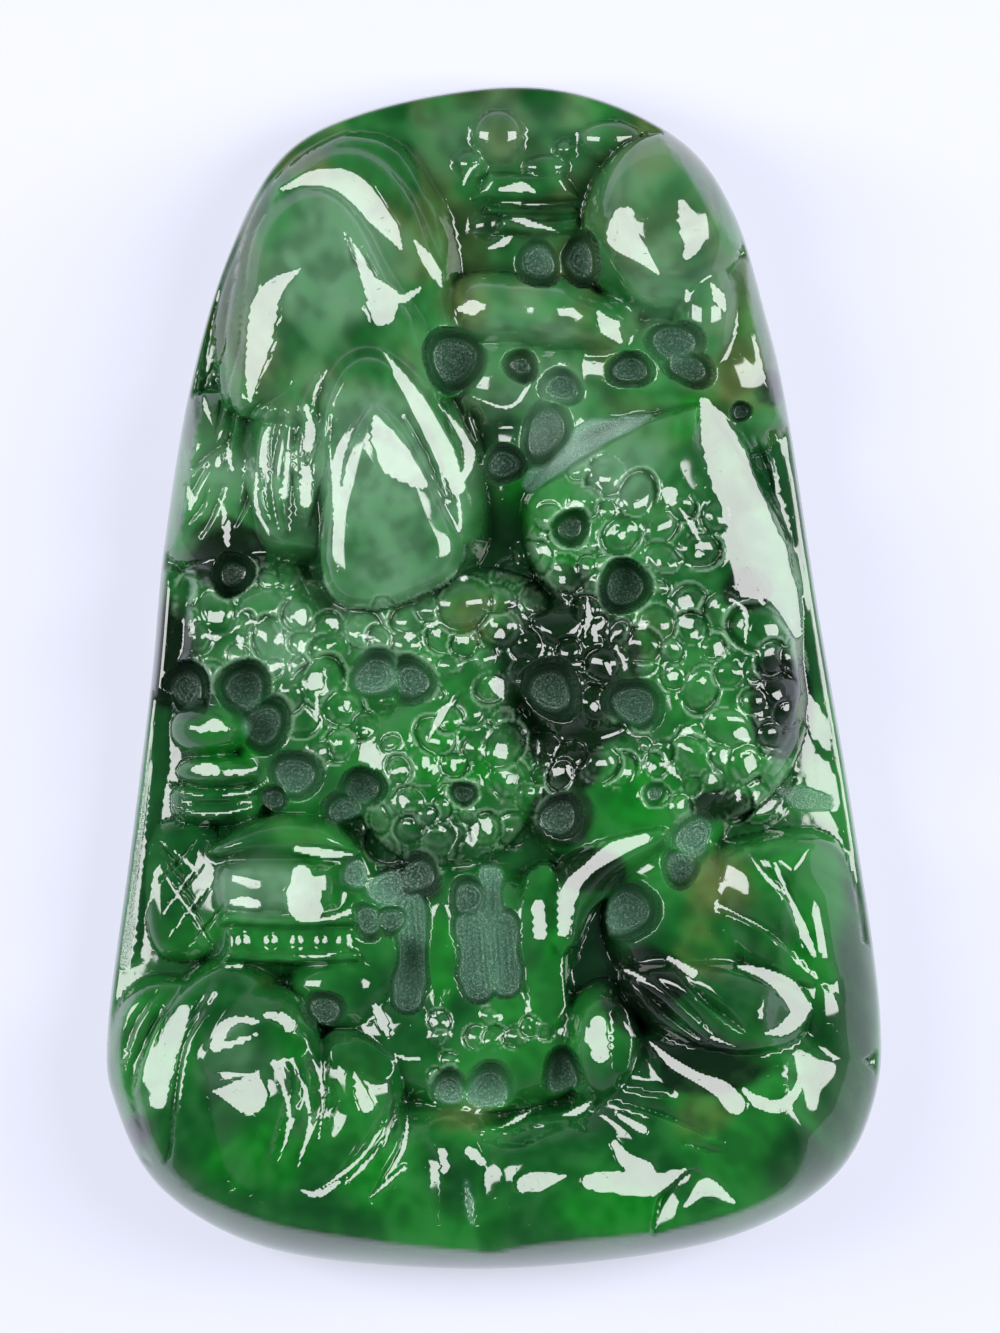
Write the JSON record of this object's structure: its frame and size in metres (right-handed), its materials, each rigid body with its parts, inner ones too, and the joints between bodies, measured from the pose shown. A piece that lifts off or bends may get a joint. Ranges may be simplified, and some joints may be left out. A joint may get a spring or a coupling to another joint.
{
  "type": "carved jade landscape pendant",
  "caption": "Slab of mottled green jadeite with rounded edges, carved on the face in deep relief with peaks, groves of round trees, buildings and rocks, and flat on the back; an ornament.",
  "frame": {"origin": "centre of the bounding box at the bottom, which is the flat back the pendant lies on", "axes": "+X to the right of the carved face, +Y to the top of the scene along the length, +Z out of the carved face"},
  "size_m": [0.0388, 0.0592, 0.0117],
  "materials": {
    "polished_jadeite": "polished jadeite, mottled green, with matt ball-cut hollows"
  },
  "bodies": {
    "root": {"jade_pendant": "polished_jadeite"}
  },
  "joints": []
}
